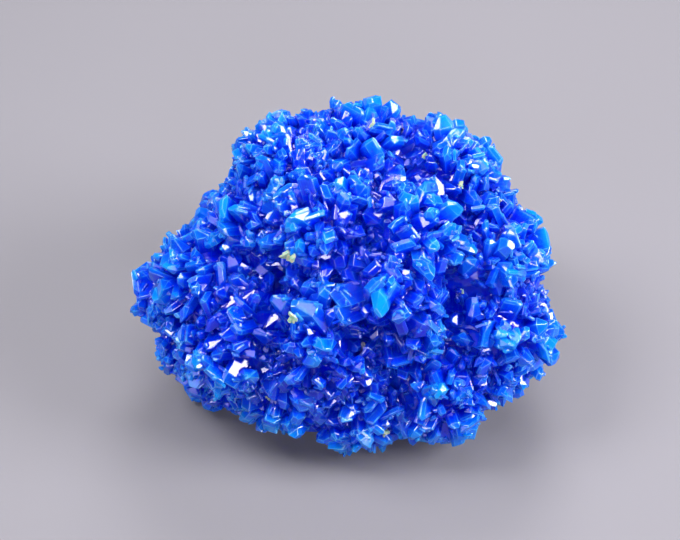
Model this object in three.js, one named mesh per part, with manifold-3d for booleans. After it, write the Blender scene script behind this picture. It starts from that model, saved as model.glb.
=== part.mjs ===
// A chalcanthite crystal cluster: a lumpy blue mass, grown as one piece, wholly covered with chisel-ended
// crystals. Millimetres, +Z up. The origin is in the middle of the flat underside that it rests on.
import * as THREE from "three";
import { mergeVertices } from "three/addons/utils/BufferGeometryUtils.js";
import Module from "manifold-3d";

const wasm = await Module();
wasm.setup();

// Driving dimensions, in millimetres, and shares of a crystal's own size
const CRYSTALS_ALONG = [11, 11, 10]; // crystals along the width, depth and height of the mass
const VALLEY_DEPTH = 0.6; // how far the joins between crystals lie below the lumps' surface
const CRYSTAL_REACH = [1.4, 6.0]; // how far a crystal's ridge stands out of its lump
const SHOULDER_HEIGHT = [0.35, 0.8]; // where a crystal's sides end, as a share of its reach
const SHOULDER_INSET = [0.06, 0.3]; // how far the sides lean in up to there
const RIDGE_LENGTH = [0.3, 0.9]; // as a share of the crystal's length between its shoulders
const RIDGE_SLANT = 0.3; // how much higher one end of a ridge may be, as a share of its reach
const CRYSTAL_LEAN = 0.16; // how far a ridge may lie to one side, as a share of the crystal's size
const GRID_WARP = 0.06; // how far the crystals' corners stray from a regular grid, on a ball of radius 1
const MASS_HALF = new THREE.Vector3(50, 41, 36); // half of the mass's width, depth and height

// The lumps that the mass grew from, as balls: centre and radius. The underside cuts the lowest ones flat.
const LUMPS = {
  heart: { at: [0, 1, 27], radius: 26 },
  baseLeft: { at: [-12, 0, 12], radius: 18 },
  baseRight: { at: [12, 0, 12], radius: 18 },
  baseBack: { at: [0, 11, 12], radius: 18 },
  leftCrown: { at: [-11, 12, 43], radius: 16 },
  crown: { at: [3, 12, 44], radius: 16 },
  rightCrown: { at: [20, 10, 42], radius: 16 },
  rightEnd: { at: [30, -3, 33], radius: 15 },
  rightFront: { at: [30, -12, 23], radius: 15 },
  rightFoot: { at: [19, -19, 18], radius: 14 },
  frontFoot: { at: [4, -21, 15], radius: 14 },
  leftFoot: { at: [-10, -19, 19], radius: 14 },
  leftHeel: { at: [-24, -10, 12], radius: 12 },
  leftUnderside: { at: [-28, -10, 18], radius: 12 },
  leftTip: { at: [-37, -3, 25], radius: 9 },
  leftEnd: { at: [-28, -6, 31], radius: 12 },
  leftShoulder: { at: [-17, 0, 39], radius: 12 },
  leftFront: { at: [-21, -18, 27], radius: 13 },
  front: { at: [-3, -21, 31], radius: 14 },
  brow: { at: [-1, -7, 46], radius: 14 },
  rightBrow: { at: [13, -8, 45], radius: 13 },
  middle: { at: [10, -20, 38], radius: 12 },
  backLeft: { at: [-19, 12, 23], radius: 18 },
  back: { at: [2, 19, 25], radius: 18 },
  backRight: { at: [21, 15, 23], radius: 18 },
  backCrown: { at: [0, 18, 40], radius: 15 },
};
const HEART = new THREE.Vector3(...LUMPS.heart.at);

// A repeatable number from 0 to 1 for crystal i and purpose k.
function chance(i, k) {
  const wave = Math.sin(i * 12.9898 + k * 78.233) * 43758.5453;
  return wave - Math.floor(wave);
}

const between = ([low, high], share) => low + (high - low) * share;

// How far the outermost lump's surface is from the heart, in a direction of length 1.
function surfaceDistance(direction) {
  let far = 0;
  for (const { at, radius } of Object.values(LUMPS)) {
    const centre = new THREE.Vector3(...at).sub(HEART);
    const nearest = centre.dot(direction);
    const chord = radius ** 2 - centre.lengthSq() + nearest ** 2;
    if (chord > 0) far = Math.max(far, nearest + Math.sqrt(chord));
  }
  return far;
}

// The way out of the heart through a point of the cube. The point is carried to a ball of radius 1,
// moved off the grid by a wave, and stretched with the mass, so that crystals are of like size all over.
function gridDirection(point) {
  const even = point.clone().multiplyScalar(2);
  even.set(...even.toArray().map((x) => Math.tan((x * Math.PI) / 4))).normalize();
  const { x, y, z } = even;
  const stray = new THREE.Vector3(
    Math.sin(41 * y + 67 * z + 3),
    Math.sin(59 * z + 37 * x + 5),
    Math.sin(43 * x + 61 * y + 1),
  );
  return even.addScaledVector(stray, GRID_WARP).normalize().multiply(MASS_HALF).normalize();
}

// One chisel-ended crystal on four corners of the mass, which run anticlockwise seen from outside.
// It rises away from the heart: four sides up to the shoulders, then two roof faces that meet in a
// ridge, and a gable at each end. It stays over its own corners, so that no two crystals cross.
function crystalTriangles(i, gridCorners) {
  const turned = chance(i, 1) < 0.5 ? gridCorners : [...gridCorners.slice(1), gridCorners[0]];
  const middle = turned.reduce((sum, c) => sum.add(c), new THREE.Vector3()).divideScalar(4);
  const outward = middle.clone().sub(HEART).normalize();
  const raised = (corner, inset, rise) =>
    corner.clone().lerp(middle, inset).addScaledVector(outward, rise + VALLEY_DEPTH);

  const reach = between(CRYSTAL_REACH, chance(i, 2) ** 1.3);
  const inset = between(SHOULDER_INSET, chance(i, 3));
  const shoulders = turned.map((corner, n) =>
    raised(corner, inset, reach * between(SHOULDER_HEIGHT, chance(i, 4 + n))),
  );
  const sideways = shoulders[1].clone().sub(shoulders[0]);
  const lean = CRYSTAL_LEAN * (2 * chance(i, 8) - 1);
  const slant = RIDGE_SLANT * (2 * chance(i, 9) - 1);
  const length = between(RIDGE_LENGTH, chance(i, 10));
  const ridgeEnd = (p, q, side) =>
    raised(p.clone().add(q).divideScalar(2), 1 - length, reach * (1 + side * slant)).addScaledVector(
      sideways,
      lean,
    );
  const near = ridgeEnd(turned[0], turned[1], 1);
  const distant = ridgeEnd(turned[2], turned[3], -1);

  const [a, b, c, d] = shoulders;
  const sides = turned.flatMap((corner, n) => {
    const next = (n + 1) % 4;
    return [corner, turned[next], shoulders[next], corner, shoulders[next], shoulders[n]];
  });
  const gables = [a, b, near, c, d, distant];
  const roof = [b, c, distant, b, distant, near, d, a, near, d, near, distant];
  return [...sides, ...gables, ...roof];
}

// The whole crust of crystals, as one closed skin round the heart.
function crust() {
  const cube = new THREE.BoxGeometry(1, 1, 1, ...CRYSTALS_ALONG);
  const spots = cube.attributes.position;
  const corners = Array.from({ length: spots.count }, (_, v) => {
    const direction = gridDirection(new THREE.Vector3().fromBufferAttribute(spots, v));
    const distance = surfaceDistance(direction) - VALLEY_DEPTH;
    return direction.multiplyScalar(distance).add(HEART);
  });
  const index = cube.index.array;
  const points = [];
  for (let k = 0; k < index.length; k += 6) {
    const square = [index[k], index[k + 1], index[k + 4], index[k + 2]];
    points.push(...crystalTriangles(k / 6, square.map((v) => corners[v])));
  }
  return new THREE.BufferGeometry().setFromPoints(points);
}

// A closed geometry as a manifold-3d solid.
function solidOf(geometry) {
  const bare = new THREE.BufferGeometry().setAttribute("position", geometry.attributes.position);
  if (geometry.index) bare.setIndex(geometry.index);
  const merged = mergeVertices(bare, 1e-3);
  return new wasm.Manifold(
    new wasm.Mesh({
      numProp: 3,
      vertProperties: new Float32Array(merged.attributes.position.array),
      triVerts: new Uint32Array(merged.index.array),
    }),
  );
}

// Everything below the underside.
function belowUnderside() {
  const size = 200;
  return new THREE.BoxGeometry(size, size, size).translate(0, 0, -size / 2);
}

function clusterGeometry() {
  const mesh = solidOf(crust()).subtract(solidOf(belowUnderside())).getMesh();
  return new THREE.BufferGeometry()
    .setAttribute("position", new THREE.BufferAttribute(mesh.vertProperties, 3))
    .setIndex(new THREE.BufferAttribute(mesh.triVerts, 1))
    .toNonIndexed();
}

const chalcanthite = new THREE.MeshStandardMaterial({
  color: 0x1255de,
  roughness: 0.2,
  metalness: 0,
  flatShading: true,
});

const clusterMesh = new THREE.Mesh(clusterGeometry(), chalcanthite);
clusterMesh.name = "crystal_cluster";

const cluster = new THREE.Group();
cluster.add(clusterMesh);

export default cluster;
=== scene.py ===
import bmesh
import bpy
import numpy as np
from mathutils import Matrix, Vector


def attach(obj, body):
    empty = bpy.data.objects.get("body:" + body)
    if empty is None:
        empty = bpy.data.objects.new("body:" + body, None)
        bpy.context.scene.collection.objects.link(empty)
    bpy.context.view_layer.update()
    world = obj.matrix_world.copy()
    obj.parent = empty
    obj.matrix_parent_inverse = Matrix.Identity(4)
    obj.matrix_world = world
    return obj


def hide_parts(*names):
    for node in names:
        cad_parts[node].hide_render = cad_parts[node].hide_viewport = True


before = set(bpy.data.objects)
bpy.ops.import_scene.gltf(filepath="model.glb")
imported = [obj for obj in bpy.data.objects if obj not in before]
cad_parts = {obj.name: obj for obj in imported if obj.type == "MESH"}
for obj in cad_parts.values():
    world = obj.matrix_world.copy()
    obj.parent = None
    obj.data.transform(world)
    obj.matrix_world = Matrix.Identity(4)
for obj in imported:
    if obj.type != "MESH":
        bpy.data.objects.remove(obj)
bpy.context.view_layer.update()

# The cluster: one grown mass of chalcanthite, a hydrated copper sulphate, that lies on a flat underside.
# It grew from rounded lumps 16 to 52 mm across, and all of its outside is crowded with tabular crystals,
# 4 to 10 mm long, that grew into each other.
MM = 0.001

# The lumps, as balls: centre and radius in mm
LUMPS = {
    "heart": (0, 1, 27, 26),
    "base_left": (-12, 0, 12, 18),
    "base_right": (12, 0, 12, 18),
    "base_back": (0, 11, 12, 18),
    "left_crown": (-8, 11, 43, 16),
    "crown": (4, 12, 45, 16),
    "right_crown": (19, 9, 42, 16),
    "right_end": (29, -3, 33, 15),
    "right_front": (31, -12, 23, 15),
    "right_foot": (20, -20, 17, 14),
    "front_foot": (4, -21, 15, 14),
    "left_foot": (-10, -19, 19, 14),
    "left_heel": (-24, -10, 12, 12),
    "left_underside": (-28, -10, 18, 12),
    "left_tip": (-37, -3, 24, 8),
    "left_end": (-28, -6, 31, 12),
    "left_shoulder": (-17, 0, 39, 12),
    "left_front": (-21, -18, 27, 13),
    "front": (-3, -21, 31, 14),
    "brow": (-1, -7, 46, 14),
    "right_brow": (13, -8, 45, 13),
    "middle": (10, -20, 38, 12),
    "back_left": (-15, 12, 22, 18),
    "back": (2, 19, 25, 18),
    "back_right": (21, 15, 23, 18),
    "back_crown": (0, 18, 40, 15),
}
BALLS = np.array(list(LUMPS.values()), float)
CENTRES, RADII = BALLS[:, :3], BALLS[:, 3]
HEART = np.array(LUMPS["heart"][:3], float)

# Hollows where growth lagged behind: centre, radius and depth in mm
HOLLOWS = {
    "under_left_shoulder": (-14, -17, 42, 6.5, 6),
    "left_of_left_front": (-26, -25, 38, 6, 5),
    "over_left_foot": (-15, -30, 35, 6, 5.5),
    "under_brow": (6, -16, 56, 6, 6),
    "crown_notch": (14, 6, 58, 4.5, 4.5),
    "right_crown_notch": (20, 2, 57, 4.5, 4),
    "over_brow": (-5, -6, 61, 5, 4),
    "brow_to_front": (0, -21, 53, 5, 5),
    "front_pit": (6, -33, 39, 7, 7),
    "under_middle": (14, -33, 39, 5, 5),
    "right_valley": (24, -19, 37, 6, 4.5),
    "right_brow_notch": (26, -4, 50, 5, 4.5),
    "over_front_foot": (2, -35, 27, 5, 3),
    "foot_to_foot": (13, -33, 21, 4.5, 2),
    "front_foot_toe": (-3, -35, 15, 4.5, 3),
}
PITS = np.array(list(HOLLOWS.values()), float)
SEAM_WIDTH = 6.0  # from the seam between two lumps to where crystals stand at their full height
FULL_HEIGHT = 3.0  # over the mass, where a crystal gets the painted light of a tip
FAR_EDGE = 9.0  # stands for an edge that a face doesn't have
FLAT_TURN = np.radians(35)  # how far a broad face that lies flat may turn off that
GOLDEN_ANGLE = np.pi * (3 - np.sqrt(5))
chance = np.random.default_rng(20)


def height_over_mass(points):
    """How far points stand out of the mass, in mm: the least of their distances to the lumps' skins."""
    return (np.linalg.norm(points[:, None] - CENTRES, axis=2) - RADII).min(axis=1)


def hollow_depth(points):
    """How far growth lags behind in the hollows, in mm: the deepest of the bells that fall off from each
    hollow's own depth at its centre by e at its own radius."""
    away = np.linalg.norm(points[:, None] - PITS[:, :3], axis=2)
    return (PITS[:, 4] * np.exp(-((away / PITS[:, 3]) ** 2))).max(axis=1)


def outward_way(points):
    """The way out of the mass: the ways out of the lumps, each counted less by e for every 2 mm that its
    skin lies further off."""
    reach = points[:, None] - CENTRES
    distance = np.linalg.norm(reach, axis=2)
    height = distance - RADII
    weight = np.exp((height.min(axis=1, keepdims=True) - height) / 2) / distance
    way = (reach * weight[..., None]).sum(axis=1)
    return way / np.linalg.norm(way, axis=1, keepdims=True)


def mass_skin(rings, turns, depth, rough):
    """The mass without its crystals, as a function of two angles, latitude and longitude about the heart:
    the far end of the longest chord that runs from the heart through a lump, less depth, and roughened at
    random by up to rough either way, which dies away towards the poles where the grid is finer."""
    latitude = np.linspace(-np.pi / 2, np.pi / 2, rings + 1)[1:-1, None]
    longitude = np.arange(turns)[None] * 2 * np.pi / turns
    grid = np.broadcast_arrays(
        np.cos(latitude) * np.cos(longitude), np.cos(latitude) * np.sin(longitude), np.sin(latitude)
    )
    poles = [[0, 0, -1], [0, 0, 1]]
    way = np.concatenate([np.stack(grid, axis=-1).reshape(-1, 3), poles])
    nearest = way @ (CENTRES - HEART).T
    chord = RADII**2 - ((CENTRES - HEART) ** 2).sum(axis=1) + nearest**2
    far = np.where(chord > 0, nearest + np.sqrt(np.maximum(chord, 0)), 0).max(axis=1)
    far -= depth + hollow_depth(HEART + way * far[:, None])
    far += rough * np.hypot(way[:, 0], way[:, 1]) * chance.uniform(-1, 1, len(way))
    verts = HEART + way * far[:, None]

    count = (rings - 1) * turns
    low = np.arange(count).reshape(rings - 1, turns)
    quads = np.stack(
        [low[:-1], np.roll(low[:-1], -1, axis=1), np.roll(low[1:], -1, axis=1), low[1:]], axis=-1
    ).reshape(-1, 4)
    first, last = low[0], low[-1]
    fans = [
        np.stack([np.roll(first, -1), first, np.full(turns, count)], axis=-1),
        np.stack([last, np.roll(last, -1), np.full(turns, count + 1)], axis=-1),
    ]
    return verts, quads.tolist() + np.concatenate(fans).tolist()


def crystal_sites(spacing, scatter, lowest):
    """Places for crystals on the lumps: on each ball a spiral that steps by the golden angle, so that its
    points are about spacing apart, less the points inside another ball or lower than lowest."""
    spirals = []
    for centre, radius in zip(CENTRES, RADII):
        count = int(4 * np.pi * radius**2 / spacing**2)
        step = np.arange(count) + 0.5
        height = 1 - 2 * step / count
        ring = np.sqrt(1 - height**2)
        turn = step * GOLDEN_ANGLE + chance.uniform(0, 2 * np.pi)
        spirals.append(
            centre + radius * np.stack([ring * np.cos(turn), ring * np.sin(turn), height], axis=1)
        )
    spots = np.concatenate(spirals)
    spots += chance.normal(0, scatter * spacing, spots.shape)
    return spots[(height_over_mass(spots) > -0.25 * spacing) & (spots[:, 2] > lowest)]


def room_over_seams(points):
    """How freely crystals grow at points on the mass, from 0 on the seam between two lumps to 1 where the
    next lump's skin is SEAM_WIDTH off: a smooth step of the difference between the two nearest skins."""
    height = np.sort(np.linalg.norm(points[:, None] - CENTRES, axis=2) - RADII, axis=1)
    share = np.clip((height[:, 1] - height[:, 0]) / SEAM_WIDTH, 0, 1)
    return share * share * (3 - 2 * share)


def standing_free(points):
    """How far points stand clear of the mass, from 0 on its skin to 1 at FULL_HEIGHT over it, and less by
    up to a fifth over the seams."""
    return np.clip(height_over_mass(points) / FULL_HEIGHT, 0, 1) * (0.8 + 0.2 * room_over_seams(points))


def crystal_axes(outward, lean, flat):
    """Each crystal's own length, width and thickness ways. The length strays from the outward way by an
    angle of up to lean, evenly spread over that cone. A share of flat crystals turn a broad face up, give
    or take FLAT_TURN, and the rest are turned freely about their length."""
    n = len(outward)
    stray = np.cross(outward, chance.normal(size=outward.shape))
    stray /= np.linalg.norm(stray, axis=1, keepdims=True)
    angle = lean * np.sqrt(chance.uniform(size=(n, 1)))
    along = np.cos(angle) * outward + np.sin(angle) * stray
    level = np.cross(along, outward)
    level /= np.linalg.norm(level, axis=1, keepdims=True)
    loose = chance.uniform(size=(n, 1)) > flat
    roll = chance.uniform(-1, 1, (n, 1)) * np.where(loose, np.pi, FLAT_TURN)
    across = np.cos(roll) * level + np.sin(roll) * np.cross(along, level)
    return np.stack([along, across, np.cross(along, across)], axis=1)


# One crystal's form, as ranges to draw from. Shares of half its thickness: the bevels on its edges, the
# kinks in its narrow sides, its skew, and the height of its chisel end, which is at most CHISEL_MOST of the
# length. Slopes of its end. Shares of its width and thickness that the ridge keeps, and how far off it lies.
BEVEL, KINK, SKEW, CHISEL = (0.25, 0.9), (-0.6, 0.6), (-0.3, 0.3), (1.0, 2.2)
SLOPE, RIDGE_WIDE, RIDGE_THICK, RIDGE_OFF = (-0.4, 0.4), (0.25, 0.8), (0.08, 0.5), (-0.8, 0.8)
BEVEL_MOST, CHISEL_MOST = 0.6, 0.5


def crystal_shapes(axes, length, width, thickness):
    """Chisel-ended crystals, each from its own root. A long six-sided outline, width by thickness, whose
    edges are bevelled unequally and which leans as a parallelogram does, is carried along the crystal's
    length: straight from the root to the shoulders, then drawn in to a narrow ridge. The shoulders and
    the ridge lie on planes of one slope, so that the faces are flat."""
    a, b, long = width[:, None] / 2, thickness[:, None] / 2, length[:, None]
    spread = lambda share: chance.uniform(*share, a.shape)
    bevel = np.minimum(spread(BEVEL) * b, BEVEL_MOST * a)
    right, left = spread(KINK) * b, spread(KINK) * b
    x = np.concatenate([a, a - bevel, bevel - a, -a, bevel - a, a - bevel], axis=1)
    y = np.concatenate([right, b, b, left, -b, -b], axis=1)
    x += spread(SKEW) * y
    slope_x, slope_y = spread(SLOPE), spread(SLOPE)
    ridge_x, ridge_y = spread(RIDGE_WIDE), spread(RIDGE_THICK)
    shift_x = spread(RIDGE_OFF) * (1 - ridge_x) * a
    shift_y = spread(RIDGE_OFF) * (1 - ridge_y) * b
    end = np.minimum(spread(CHISEL) * (1 - ridge_y) * b, CHISEL_MOST * long)

    tip_x, tip_y = x * ridge_x + shift_x, y * ridge_y + shift_y
    tip_z = long + tip_x * slope_x + tip_y * slope_y
    shoulder_z = long - end + x * slope_x + y * slope_y
    rings = [(np.zeros_like(x), x, y), (shoulder_z, x, y), (tip_z, tip_x, tip_y)]
    return np.stack([np.stack(ring, axis=-1) for ring in rings], axis=1) @ axes[:, None]


def crystal_faces(count, sides):
    """Faces of crystals with three rings of points each, as point numbers, with the crystal that each one
    belongs to: a band of four-sided faces between each ring and the next, then two end faces."""
    k = np.arange(sides)
    after = np.roll(k, -1)
    band = np.stack([k, after, after + sides, k + sides], axis=1)
    sides_of_one = np.concatenate([band, band + sides])
    ends_of_one = np.stack([k[::-1], k + 2 * sides])
    first = (np.arange(count) * 3 * sides)[:, None, None]
    crystal = np.arange(count)
    owner = np.concatenate([np.repeat(crystal, len(sides_of_one)), np.repeat(crystal, len(ends_of_one))])
    return (first + sides_of_one).reshape(-1, 4), (first + ends_of_one).reshape(-1, sides), owner


def edge_distances(verts, faces):
    """How far each corner of each face lies from the lines of that face's own edges, in mm, padded to six
    edges. It changes evenly over a flat face, so that what a cut leaves of the face keeps it."""
    p = verts[faces]
    edge = np.roll(p, -1, axis=1) - p
    edge /= np.linalg.norm(edge, axis=2, keepdims=True)
    off = np.linalg.norm(np.cross(p[:, :, None] - p[:, None], edge[:, None]), axis=3)
    padded = np.full((*faces.shape, 6), FAR_EDGE)
    padded[:, :, : faces.shape[1]] = off
    return padded.reshape(-1, 6)


def as_object(name, verts, faces):
    """An object whose mesh holds points given in mm, and faces given as lists of their numbers."""
    mesh = bpy.data.meshes.new(name)
    mesh.from_pydata((verts * MM).tolist(), [], faces)
    obj = bpy.data.objects.new(name, mesh)
    bpy.context.scene.collection.objects.link(obj)
    return obj


def store(obj, name, kind, domain, values):
    """Stores numbers or vectors under a name, one for each point, corner or face."""
    layer = obj.data.attributes.new(name, kind, domain)
    field = "value" if kind == "FLOAT" else "vector"
    layer.data.foreach_set(field, np.asarray(values, np.float32).ravel())


def store_surface(obj, tint, facet, across, edges):
    """Stores what the crystals' finish reads: each crystal's tint, each facet's brightness for a painted
    internal reflection, the way across the crystal's growth lines, and the distances from the edges."""
    store(obj, "tint", "FLOAT", "FACE", tint)
    store(obj, "facet", "FLOAT", "FACE", facet)
    store(obj, "across", "FLOAT_VECTOR", "FACE", across)
    store(obj, "edges_a", "FLOAT_VECTOR", "CORNER", edges[:, :3])
    store(obj, "edges_b", "FLOAT_VECTOR", "CORNER", edges[:, 3:])


def store_plain(obj):
    """The same, for a surface with no crystal edges."""
    faces, corners = len(obj.data.polygons), len(obj.data.loops)
    facet, across = chance.uniform(size=faces), np.tile([1, 0, 0], (faces, 1))
    store_surface(obj, np.full(faces, 0.5), facet, across, np.full((corners, 6), FAR_EDGE))


def fuse(body, tool, operation):
    """Joins tool to body or cuts body with it, so that one closed skin is left, and removes tool."""
    step = body.modifiers.new("grown", "BOOLEAN")
    step.operation, step.solver, step.object = operation, "MANIFOLD", tool
    old = body.data
    body.data = bpy.data.meshes.new_from_object(body.evaluated_get(bpy.context.evaluated_depsgraph_get()))
    body.modifiers.clear()
    bpy.data.meshes.remove(old)
    bpy.data.meshes.remove(tool.data)


def separate_batches(centre, radius):
    """Sorts crystals into batches in which none touches another: each takes the first batch that none of
    the earlier crystals in reach of it has taken."""
    batch = np.zeros(len(centre), int)
    for i in range(1, len(centre)):
        near = np.linalg.norm(centre[:i] - centre[i], axis=1) < radius[:i] + radius[i]
        taken = np.bincount(batch[:i][near], minlength=1)
        free = np.flatnonzero(taken == 0)
        batch[i] = free[0] if len(free) else len(taken)
    return batch


# Crystals of each size: mm apart, mm that they stand out of the mass, length, width and thickness in mm,
# the widest lean off the outward way in degrees, the share that turn a broad face up, and the share that
# have a second plate, thinner and shorter, grown on one broad face
SIZES = {
    "plates": dict(
        spacing=6.4, out=(2.4, 4.6), long=(7, 10), wide=(4.4, 6.6), thick=(1.4, 2.4),
        lean=60, flat=0.7, stepped=0.3,
    ),
    "large": dict(
        spacing=5.0, out=(2.4, 5.0), long=(7, 10), wide=(3.8, 5.8), thick=(2.2, 3.6),
        lean=50, flat=0.5, stepped=0.25,
    ),
    "middling": dict(
        spacing=3.5, out=(1.8, 4.2), long=(5, 7.5), wide=(2.5, 4.0), thick=(1.5, 2.6),
        lean=55, flat=0.5, stepped=0.1,
    ),
    "small": dict(
        spacing=4.8, out=(1.1, 3.2), long=(4.5, 6), wide=(1.3, 2.4), thick=(0.9, 1.7),
        lean=55, flat=0.3, stepped=0.0,
    ),
}
SEAM_SHARE = 0.4  # how much of its height a crystal keeps on a seam
MOST_OUT = 0.65  # how much of its rise a crystal may show
SCATTER, LOWEST = 0.25, 1.0  # how far crystals stray, in spacings, and how low they sit, in mm
# The second plate, as shares of its crystal's sizes: its offsets, length, width and thickness, and its tint
PLATE_OFF, PLATE_SLIDE, PLATE_TINT = (0.4, 0.75), (-0.25, 0.25), 0.1
PLATE_LONG, PLATE_WIDE, PLATE_THICK = (0.72, 0.95), (0.6, 0.95), (0.45, 0.8)
shapes, tints, ways_across = [], [], []
for size in SIZES.values():
    spot = crystal_sites(size["spacing"], SCATTER, LOWEST)
    outward = outward_way(spot)
    axes = crystal_axes(outward, np.radians(size["lean"]), size["flat"])
    n = len(spot)
    room = SEAM_SHARE + (1 - SEAM_SHARE) * room_over_seams(spot)
    out = chance.uniform(*size["out"], n) * room
    long, wide, thick = (chance.uniform(*size[way], n) for way in ("long", "wide", "thick"))
    tint = chance.uniform(size=n)
    shape = crystal_shapes(axes, long, wide, thick)
    rise = np.einsum("nrsk,nk->nrs", shape, outward).max(axis=(1, 2))
    out = np.minimum(out, MOST_OUT * rise)
    root = spot + outward * (out - rise)[:, None]
    top = height_over_mass((root[:, None, None] + shape).reshape(-1, 3)).reshape(n, -1).max(axis=1)
    root -= outward * (np.maximum(top - out, 0) + hollow_depth(spot))[:, None]
    shapes.append(root[:, None, None] + shape)
    tints.append(tint)
    ways_across.append(axes[:, 1])

    more = chance.uniform(size=n) < size["stepped"]
    m = more.sum()
    side = chance.choice([-1, 1], m)[:, None] * chance.uniform(*PLATE_OFF, (m, 1)) * thick[more, None]
    slide = chance.uniform(*PLATE_SLIDE, (m, 1)) * wide[more, None]
    plate_root = root[more] + side * axes[more, 2] + slide * axes[more, 1]
    plate_long = long[more] * chance.uniform(*PLATE_LONG, m)
    plate_wide = wide[more] * chance.uniform(*PLATE_WIDE, m)
    plate_thick = thick[more] * chance.uniform(*PLATE_THICK, m)
    plate = crystal_shapes(axes[more], plate_long, plate_wide, plate_thick)
    shapes.append(plate_root[:, None, None] + plate)
    tints.append(np.clip(tint[more] + chance.normal(0, PLATE_TINT, m), 0, 1))
    ways_across.append(axes[more, 1])

shape, tint, across = (np.concatenate(parts) for parts in (shapes, tints, ways_across))
middle = shape.mean(axis=(1, 2))
reach = np.linalg.norm(shape - middle[:, None, None], axis=3).max(axis=(1, 2))
batch = separate_batches(middle, reach)

cluster = as_object("crystals", *mass_skin(rings=36, turns=76, depth=1.2, rough=0.9))
store_plain(cluster)
SIDES = shape.shape[2]
for k in range(batch.max() + 1):
    chosen = batch == k
    sides, ends, owner = crystal_faces(chosen.sum(), SIDES)
    verts = shape[chosen].reshape(-1, 3)
    layer = as_object("layer", verts, sides.tolist() + ends.tolist())
    edges = np.concatenate([edge_distances(verts, sides), edge_distances(verts, ends)])
    facet = chance.uniform(size=len(owner))
    store_surface(layer, tint[chosen][owner], facet, across[chosen][owner], edges)
    fuse(cluster, layer, "UNION")
BELOW = 120.0  # the half width of the box that cuts the underside flat
corners = np.array([[x, y, z] for z in (-2, 0) for y in (-1, 1) for x in (-1, 1)]) * BELOW
box_faces = [(0, 2, 3, 1), (4, 5, 7, 6), (0, 1, 5, 4), (2, 6, 7, 3), (0, 4, 6, 2), (1, 3, 7, 5)]
below = as_object("below", corners, box_faces)
store_plain(below)
fuse(cluster, below, "DIFFERENCE")


def outer_shell(obj):
    """Takes out the closed pockets between crystals: every point gets the lowest number that its edges can
    pass on to it, and only the points with the commonest number stay."""
    mesh = obj.data
    ends = np.zeros(len(mesh.edges) * 2, np.int32)
    mesh.edges.foreach_get("vertices", ends)
    a, b = ends.reshape(-1, 2).T
    label = np.arange(len(mesh.vertices))
    while True:
        low = np.minimum(label[a], label[b])
        passed = label.copy()
        np.minimum.at(passed, a, low)
        np.minimum.at(passed, b, low)
        passed = passed[passed]
        if (passed == label).all():
            break
        label = passed
    pockets = np.flatnonzero(label != np.bincount(label).argmax())
    shell = bmesh.new()
    shell.from_mesh(mesh)
    shell.verts.ensure_lookup_table()
    bmesh.ops.delete(shell, geom=[shell.verts[i] for i in pockets], context="VERTS")
    shell.to_mesh(mesh)
    shell.free()


outer_shell(cluster)
points = np.zeros(len(cluster.data.vertices) * 3, np.float32)
cluster.data.vertices.foreach_get("co", points)
points = points.reshape(-1, 3).astype(float) / MM
# The height over the mass sets the painted shade in the valleys and the painted light at the tips.
store(cluster, "height", "FLOAT", "POINT", standing_free(points))


def linear(hex_colour):
    """An sRGB hex colour as linear red, green, blue and alpha."""
    srgb = np.array([int(hex_colour[i : i + 2], 16) for i in (1, 3, 5)]) / 255
    return (*np.where(srgb <= 0.04045, srgb / 12.92, ((srgb + 0.055) / 1.055) ** 2.4), 1.0)


def add(tree, kind, inputs=(), **settings):
    """Adds one node, with its settings, and sets each listed input to a value or joins it to a socket."""
    made = tree.nodes.new(kind)
    for name, value in settings.items():
        setattr(made, name, value)
    for name, value in dict(inputs).items():
        if isinstance(value, bpy.types.NodeSocket):
            tree.links.new(value, made.inputs[name])
        else:
            made.inputs[name].default_value = value
    return made


# Chalcanthite: a soft, glassy, strongly coloured crystal. It is clear in thin edges and deep blue in the
# thick, partly by real transmission and absorption and partly by painted light on tips and edges and painted
# shade in the valleys, with milky veils inside; its flat faces give back hard white glints.
VALLEY_SHADE, SHADE_TO_LIGHT, LIT_TIP = "#0008d0", {0.3: "#0022f2", 0.65: "#025afc"}, "#08aaff"  # painted shade in the valleys to painted light at the tips
VEIL, GROWTH_LINE, CRACK, BEND = 2.0, 0.5, 2.6, 1.5  # sizes of the pattern in mm
ROUNDED, RELIEF, GLOSS = 0.12, 0.08, (0.04, 0.12)  # worn edges and relief in mm, and least and most roughness
chalcanthite = bpy.data.materials.new("chalcanthite_crystal")
chalcanthite.use_nodes = True
tree = chalcanthite.node_tree
tree.nodes.clear()
place = add(tree, "ShaderNodeTexCoord").outputs["Object"]
tint_value = add(tree, "ShaderNodeAttribute", attribute_name="tint").outputs["Fac"]
facet_value = add(tree, "ShaderNodeAttribute", attribute_name="facet").outputs["Fac"]
height_value = add(tree, "ShaderNodeAttribute", attribute_name="height").outputs["Fac"]
veils = add(
    tree, "ShaderNodeTexNoise", {"Vector": place, "Scale": 1 / (VEIL * MM), "Detail": 4, "Roughness": 0.6}
)
veil = veils.outputs["Fac"]
# A colour ramp by height: painted shade deep in the valleys, painted light at the tips.
depth = add(tree, "ShaderNodeValToRGB", {"Fac": height_value})
depth.color_ramp.elements[0].color = linear(VALLEY_SHADE)
depth.color_ramp.elements[1].color = linear(LIT_TIP)
for share, colour in SHADE_TO_LIGHT.items():
    depth.color_ramp.elements.new(share).color = linear(colour)
# Each facet's random value, cubed, paints a lighter blue on some facets: a painted internal reflection.
facet_reflection = add(tree, "ShaderNodeMath", {0: facet_value, 1: 3.0}, operation="POWER").outputs[0]

across = add(tree, "ShaderNodeAttribute", attribute_name="across").outputs["Vector"]
over = add(tree, "ShaderNodeVectorMath", {0: place, 1: across}, operation="DOT_PRODUCT").outputs["Value"]
growth = add(
    tree,
    "ShaderNodeTexNoise",
    {"W": over, "Scale": 1 / (GROWTH_LINE * MM), "Detail": 2, "Roughness": 0.6},
    noise_dimensions="1D",
).outputs["Fac"]

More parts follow.
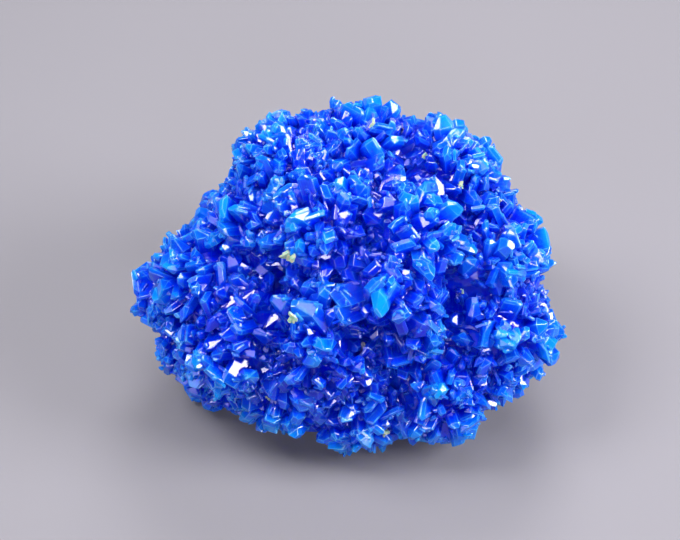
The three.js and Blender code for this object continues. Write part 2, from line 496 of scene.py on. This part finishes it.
bend = add(
    tree, "ShaderNodeVectorMath", {0: veils.outputs["Color"], 1: (BEND * MM,) * 3}, operation="MULTIPLY"
)
bent = add(tree, "ShaderNodeVectorMath", {0: place, 1: bend.outputs[0]}, operation="ADD").outputs[0]
cracks = add(
    tree, "ShaderNodeTexVoronoi", {"Vector": bent, "Scale": 1 / (CRACK * MM)}, feature="DISTANCE_TO_EDGE"
).outputs["Distance"]

near = add(tree, "ShaderNodeAttribute", attribute_name="edges_a").outputs["Vector"]
far = add(tree, "ShaderNodeAttribute", attribute_name="edges_b").outputs["Vector"]
least = add(tree, "ShaderNodeVectorMath", {0: near, 1: far}, operation="MINIMUM").outputs[0]
three = add(tree, "ShaderNodeSeparateXYZ", {0: least}).outputs
from_edge = add(tree, "ShaderNodeMath", {0: three[0], 1: three[1]}, operation="MINIMUM").outputs[0]
from_edge = add(tree, "ShaderNodeMath", {0: from_edge, 1: three[2]}, operation="MINIMUM").outputs[0]

# Ramps that the finish needs: of what value, from where to where, and what they give there
RAMPS = {
    # standing: every layer fades into the valleys, as painted shade
    "standing": (height_value, 0.15, 0.75, 0.25, 1.0),
    "healed": (veil, 0.45, 0.65, 0.0, 0.45),
    # where the painted highlights along the edges show, in patches
    "edge_highlight_patches": (veil, 0.42, 0.64, 0.05, 0.75),
    "rounded": (from_edge, 0.0, ROUNDED, 0.0, 1.0),
    "gloss": (veil, 0.3, 0.7, *GLOSS),
}
ramps = {}
for name, row in RAMPS.items():
    inputs = dict(zip(("Value", "From Min", "From Max", "To Min", "To Max"), row))
    ramps[name] = add(tree, "ShaderNodeMapRange", inputs).outputs[0]

# Layers over the painted valley shade, each weaker in the valleys as painted shade, each with its colour, the
# value it follows, where that value has none of it and all of it, and its strongest share
LAYERS = {
    "own_tint": ("#022cd6", tint_value, 0.0, 1.0, 0.9),
    "painted_facet_reflections": ("#0c88f8", facet_reflection, 0.0, 1.0, 0.35),
    "milky_veils": ("#1890f8", veil, 0.45, 0.75, 0.25),
    "growth_lines": ("#1490fa", growth, 0.5, 0.75, 0.3),
    "healed_cracks": ("#28a0ff", cracks, 0.05, 0.01, ramps["healed"]),
    # Lighter towards every edge: a painted glow of light through the thin edges.
    "painted_edge_glow": ("#0c92ff", from_edge, 1.0, 0.0, 0.22),
    # Pale lines along some edges: painted highlights where the edges catch the light.
    "painted_edge_highlights": ("#54bcff", from_edge, 0.18, 0.05, ramps["edge_highlight_patches"]),
}
hue = depth.outputs["Color"]
for colour, value, none, all_of_it, share in LAYERS.values():
    inputs = {"Value": value, "From Min": none, "From Max": all_of_it, "To Max": share}
    amount = add(tree, "ShaderNodeMapRange", inputs).outputs[0]
    inputs = {0: amount, 1: ramps["standing"]}
    amount = add(tree, "ShaderNodeMath", inputs, operation="MULTIPLY").outputs[0]
    inputs = {"Factor": amount, 6: hue, 7: linear(colour)}
    hue = add(tree, "ShaderNodeMix", inputs, data_type="RGBA").outputs[2]

rounded = add(tree, "ShaderNodeBump", {"Height": ramps["rounded"], "Distance": RELIEF * MM, "Strength": 0.45})
lined = add(
    tree,
    "ShaderNodeBump",
    {"Height": growth, "Distance": RELIEF * MM, "Strength": 0.08, "Normal": rounded.outputs["Normal"]},
)
crystal = add(
    tree,
    "ShaderNodeBsdfPrincipled",
    {
        "Base Color": hue,
        "Roughness": ramps["gloss"],
        "IOR": 1.53,
        "Normal": lined.outputs["Normal"],
        "Transmission Weight": 0.5,
        "Subsurface Weight": 0.45,
        "Subsurface Radius": (0.1, 0.4, 1.0),
        "Subsurface Scale": 3.0 * MM,
    },
)
body = add(tree, "ShaderNodeVolumeAbsorption", {"Color": linear("#0096ff"), "Density": 800.0})
add(tree, "ShaderNodeOutputMaterial", {"Surface": crystal.outputs[0], "Volume": body.outputs[0]})
cluster.data.materials.clear()
cluster.data.materials.append(chalcanthite)
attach(cluster, "root")
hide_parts("crystal_cluster")

# The fine crystals: the last growth of the same chalcanthite, 1.8 to 3.2 mm long, scattered over the larger
# crystals and rooted in them.
CLEAR = 15.0  # clear of every crystal, in mm over the lumps
FINE_SPACING, FINE_SCATTER, FINE_LOWEST = 3.0, 0.3, 6.0
FINE_LONG, FINE_WIDE, FINE_THICK = (1.8, 3.2), (0.8, 1.8), (0.5, 1.1)
FINE_LEAN, FINE_FLAT, FINE_ROOT = 60, 0.3, 0.68  # FINE_ROOT is the share of the length that is sunk
spot = crystal_sites(FINE_SPACING, FINE_SCATTER, FINE_LOWEST)
outward = outward_way(spot)
starts = (spot + CLEAR * outward) * MM
seat = np.array([cluster.ray_cast(Vector(a), Vector(b))[1] for a, b in zip(starts, -outward)]) / MM
axes = crystal_axes(outward, np.radians(FINE_LEAN), FINE_FLAT)
n = len(spot)
long, wide, thick = (chance.uniform(*way, n) for way in (FINE_LONG, FINE_WIDE, FINE_THICK))
root = seat - FINE_ROOT * long[:, None] * axes[:, 0]
verts = (root[:, None, None] + crystal_shapes(axes, long, wide, thick)).reshape(-1, 3)
sides, ends, owner = crystal_faces(n, SIDES)
fine = as_object("fine_crystals", verts, sides.tolist() + ends.tolist())
edges = np.concatenate([edge_distances(verts, sides), edge_distances(verts, ends)])
tint, facet = chance.uniform(size=n), chance.uniform(size=len(owner))
store_surface(fine, tint[owner], facet, axes[owner, 1], edges)
store(fine, "height", "FLOAT", "POINT", standing_free(verts))
fine.data.materials.append(chalcanthite)
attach(fine, "root")

# The grains: specks of a yellow-green sulphate, 1 to 2 mm across. Each is a knot of a few blunt crystals
# that settled on the chalcanthite, half sunk in it.
# Centre and size in mm
GRAINS = {
    "crown": (7, 12, 61, 1.7),
    "right_crown": (19, 7, 59, 1.3),
    "right_brow": (27, 0, 55, 1.4),
    "right_end": (34, 2, 48, 1.5),
    "right_end_low": (37, 1, 47, 1.3),
    "right_tip": (38, -4, 47, 1.2),
    "left_brow": (-13, -15, 52, 2.1),
    "left_brow_low": (-10, -18, 52, 2.2),
    "front": (-9, -29, 43, 1.7),
    "left_foot": (-17, -33, 19, 1.5),
    "right_valley": (26, -18, 39, 1.2),
    "front_foot": (10, -35, 12, 1.5),
    "back": (-8, 37, 34, 1.8),
    "back_right": (25, 30, 30, 1.5),
}
KNOT, KNOT_LEAN = 4, 80  # crystals in a knot, and their widest lean in degrees
# A crystal's length, width and thickness, how deep it is sunk and how far it strays, as shares
BLUNT = ((0.8, 1.1), (0.4, 0.6), (0.35, 0.5))
KNOT_ROOT, KNOT_STRAY = 0.45, 0.25
grain = np.array(list(GRAINS.values()), float)
outward = outward_way(grain[:, :3])
starts = (grain[:, :3] + CLEAR * outward) * MM
seat = np.array([cluster.ray_cast(Vector(a), Vector(b))[1] for a, b in zip(starts, -outward)]) / MM
n = len(grain) * KNOT
size, outward, seat = (np.repeat(values, KNOT, axis=0) for values in (grain[:, 3], outward, seat))
axes = crystal_axes(outward, np.radians(KNOT_LEAN), flat=0.0)
long, wide, thick = (size * chance.uniform(*share, n) for share in BLUNT)
root = seat - KNOT_ROOT * long[:, None] * axes[:, 0]
root += KNOT_STRAY * size[:, None] * chance.normal(size=(n, 3))
verts = (root[:, None, None] + crystal_shapes(axes, long, wide, thick)).reshape(-1, 3)
sides, ends, owner = crystal_faces(n, SIDES)
specks = as_object("yellow_grains", verts, sides.tolist() + ends.tolist())

# Yellow-green sulphate: dull, faintly waxy grains, paler where they are worn
MOTTLE = 0.6  # mm
sulphate = bpy.data.materials.new("yellow_green_sulphate")
sulphate.use_nodes = True
tree = sulphate.node_tree
tree.nodes.clear()
place = add(tree, "ShaderNodeTexCoord").outputs["Object"]
mottle = add(tree, "ShaderNodeTexNoise", {"Vector": place, "Scale": 1 / (MOTTLE * MM), "Detail": 2})
wear = add(tree, "ShaderNodeMapRange", {"Value": mottle.outputs["Fac"], "From Min": 0.35, "From Max": 0.65})
worn = add(
    tree,
    "ShaderNodeMix",
    {"Factor": wear.outputs[0], 6: linear("#5a9a80"), 7: linear("#a8a484")},
    data_type="RGBA",
)
waxy = add(
    tree,
    "ShaderNodeBsdfPrincipled",
    {
        "Base Color": worn.outputs[2],
        "Roughness": 0.45,
        "Subsurface Weight": 0.2,
        "Subsurface Radius": (1.0, 0.9, 0.5),
        "Subsurface Scale": 0.5 * MM,
    },
)
add(tree, "ShaderNodeOutputMaterial", {"Surface": waxy.outputs[0]})
specks.data.materials.append(sulphate)
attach(specks, "root")

# The stage: a plain pale floor, soft boxes round the cluster, and a camera that looks down at 45 degrees.
FLOOR_HALF = 3000.0
square = np.array([[-1, -1, 0], [1, -1, 0], [1, 1, 0], [-1, 1, 0]])
floor = as_object("floor", square * FLOOR_HALF, [(0, 1, 2, 3)])
paper = bpy.data.materials.new("pale_paper")
paper.use_nodes = True
matt = paper.node_tree.nodes["Principled BSDF"]
matt.inputs["Base Color"].default_value = linear("#68686a")
matt.inputs["Roughness"].default_value = 0.7
floor.data.materials.append(paper)

SOFT_BOXES = {
    "left": dict(at=(-340, 0, 560), size=270, radiance=22),
    "right": dict(at=(520, -120, 360), size=300, radiance=28),
    "back": dict(at=(60, 430, 460), size=260, radiance=16),
    "front": dict(at=(60, -560, 330), size=180, radiance=16),
    "fill": dict(at=(-420, -480, 300), size=380, radiance=3.5),
    "top": dict(at=(60, -60, 760), size=440, radiance=5),
}
LIGHT_AIM = Vector((0, 0, 28)) * MM
for name, box in SOFT_BOXES.items():
    light = bpy.data.lights.new("soft_box_" + name, "AREA")
    light.shape = "SQUARE"
    light.size = box["size"] * MM
    light.energy = box["radiance"] * np.pi * light.size**2  # the power of a lamp of that radiance
    light.color = (0.97, 0.93, 1.0)
    lamp = bpy.data.objects.new(light.name, light)
    lamp.location = Vector(box["at"]) * MM
    lamp.rotation_mode = "QUATERNION"
    lamp.rotation_quaternion = (LIGHT_AIM - lamp.location).to_track_quat("-Z", "Y")
    bpy.context.scene.collection.objects.link(lamp)

world = bpy.data.worlds.new("studio")
world.use_nodes = True
sky = world.node_tree.nodes["Background"]
sky.inputs["Color"].default_value = linear("#c4d2f0")
sky.inputs["Strength"].default_value = 0.08
bpy.context.scene.world = world

CAMERA_TILT, CAMERA_AWAY, CAMERA_LIFT = np.radians(45), 430.0, 0.5
BACKWARD = np.array([0, -np.sin(CAMERA_TILT), np.cos(CAMERA_TILT)])
UPWARD = np.array([0, np.cos(CAMERA_TILT), np.sin(CAMERA_TILT)])
CAMERA_AIM = np.array([-0.1, 0, 28]) + CAMERA_LIFT * UPWARD
camera = bpy.data.objects.new("camera", bpy.data.cameras.new("camera"))
camera.data.lens = 100
camera.data.sensor_width = 36
camera.rotation_euler = (CAMERA_TILT, 0, 0)
camera.location = (CAMERA_AIM + CAMERA_AWAY * BACKWARD) * MM
camera.data.clip_start = 0.01
bpy.context.scene.collection.objects.link(camera)
bpy.context.scene.camera = camera
bpy.context.scene.view_settings.view_transform = "Standard"
